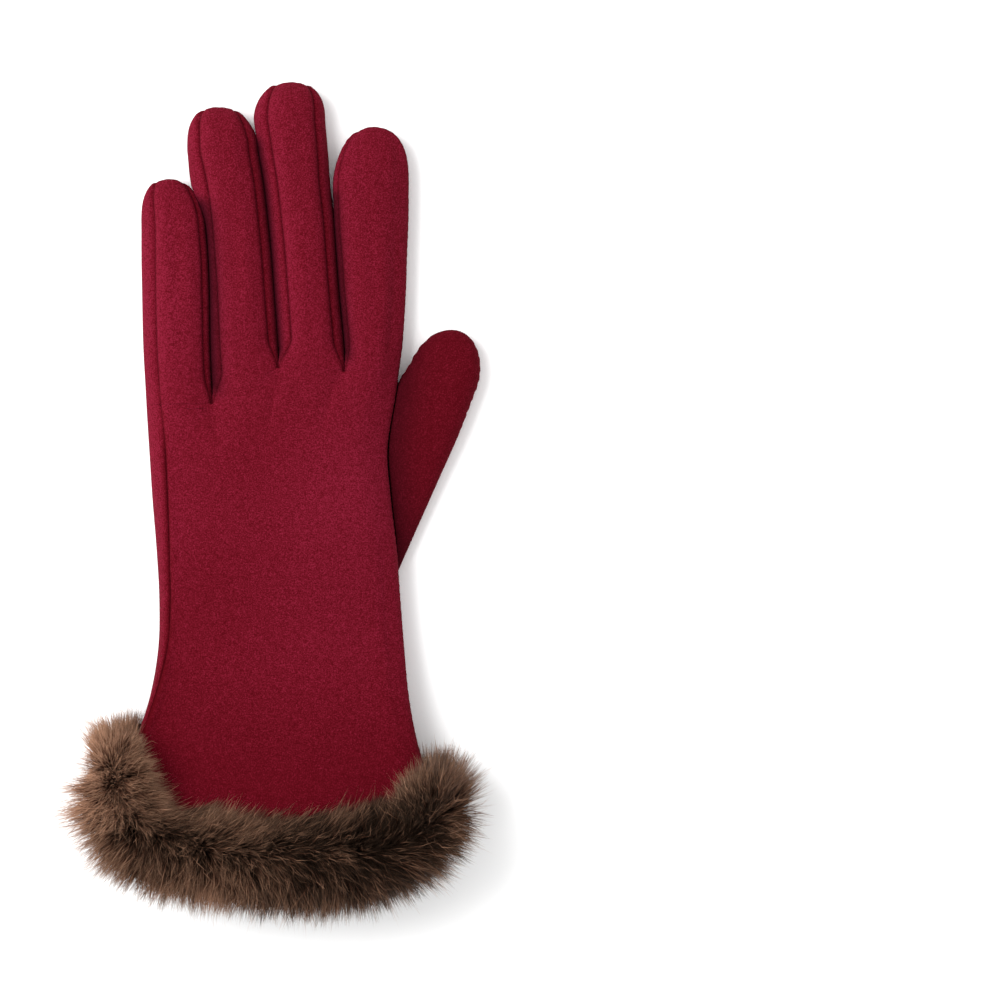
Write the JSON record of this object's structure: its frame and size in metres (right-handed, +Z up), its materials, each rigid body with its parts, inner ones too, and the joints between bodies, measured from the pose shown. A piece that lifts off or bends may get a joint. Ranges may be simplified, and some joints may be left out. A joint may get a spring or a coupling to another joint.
{
  "type": "faux fur trimmed glove",
  "caption": "Dress glove for a left hand, lying palm down: suede-like cloth with sewn fourchettes between the fingers, a set-in thumb and a deep faux fur cuff",
  "frame": {"origin": "on the table, under the middle of the glove's length and width", "axes": "+Z up from the table, +Y from the cuff towards the fingertips, +X towards the thumb"},
  "size_m": [0.123, 0.2527, 0.0429],
  "materials": {
    "faux_suede": "brushed wine-red faux suede, matt with a soft nap",
    "faux_fur": "deep brown faux fur, darker at the roots and lighter at the tips"
  },
  "bodies": {
    "root": {"back_panel": "faux_suede", "palm_panel": "faux_suede", "fourchette_little_ring": "faux_suede", "fourchette_ring_middle": "faux_suede", "fourchette_middle_index": "faux_suede", "thumb": "faux_suede", "fur_cuff": "faux_fur"}
  },
  "joints": []
}
